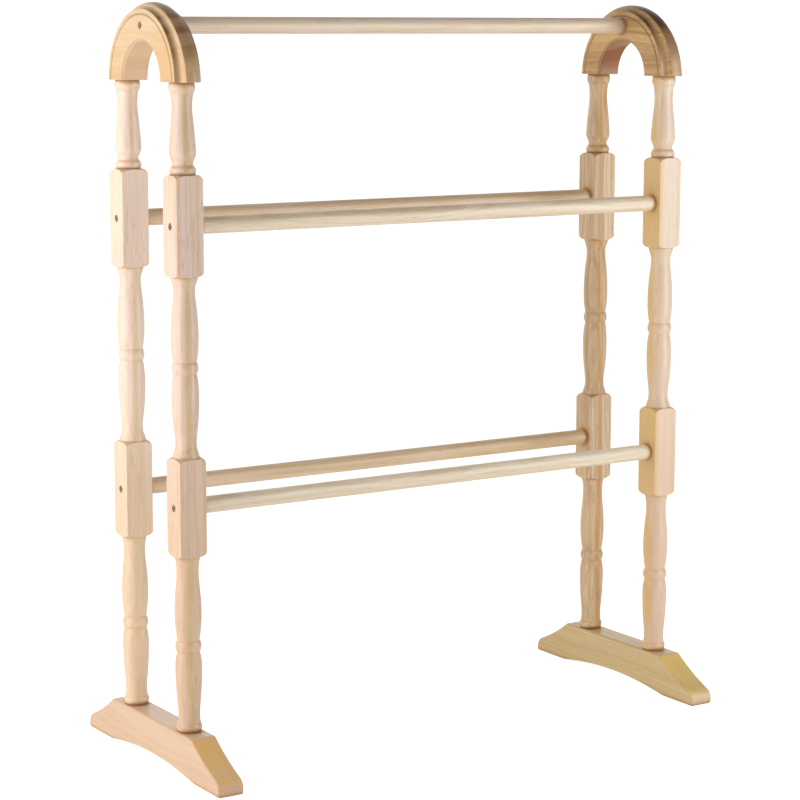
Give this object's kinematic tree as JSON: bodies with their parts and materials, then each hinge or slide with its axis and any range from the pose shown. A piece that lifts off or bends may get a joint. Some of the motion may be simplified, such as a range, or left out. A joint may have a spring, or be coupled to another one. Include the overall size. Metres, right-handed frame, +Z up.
{
  "type": "quilt rack",
  "caption": "Free-standing wooden rack for a quilt, blankets or towels: turned posts, moulded arches and shaped feet carry round rails in three tiers.",
  "frame": {"origin": "on the floor, under the middle of the rack, at the centre of the bounding box's bottom face", "axes": "+X along the rails to the right-hand end frame, +Y to the back, +Z up"},
  "size_m": [0.69, 0.322, 0.85],
  "materials": {
    "arch_wood": "clear satin lacquer",
    "post_wood": "clear satin lacquer",
    "foot_wood": "clear satin lacquer",
    "rail_wood": "clear satin lacquer",
    "pin_wood": "raw, fluted",
    "screw_steel": "dull yellow-zinc"
  },
  "bodies": {
    "root": {"arch_left": "arch_wood", "arch_right": "arch_wood", "dowel_pin_left_arch_back": "pin_wood", "dowel_pin_left_arch_front": "pin_wood", "dowel_pin_left_foot_back": "pin_wood", "dowel_pin_left_foot_front": "pin_wood", "dowel_pin_right_arch_back": "pin_wood", "dowel_pin_right_arch_front": "pin_wood", "dowel_pin_right_foot_back": "pin_wood", "dowel_pin_right_foot_front": "pin_wood", "foot_left": "foot_wood", "foot_right": "foot_wood", "post_left_back": "post_wood", "post_left_front": "post_wood", "post_right_back": "post_wood", "post_right_front": "post_wood", "rail_lower_back": "rail_wood", "rail_lower_front": "rail_wood", "rail_top": "rail_wood", "rail_upper_back": "rail_wood", "rail_upper_front": "rail_wood", "screw_left_lower_back": "screw_steel", "screw_left_lower_front": "screw_steel", "screw_left_top": "screw_steel", "screw_left_upper_back": "screw_steel", "screw_left_upper_front": "screw_steel", "screw_right_lower_back": "screw_steel", "screw_right_lower_front": "screw_steel", "screw_right_top": "screw_steel", "screw_right_upper_back": "screw_steel", "screw_right_upper_front": "screw_steel"}
  },
  "joints": []
}
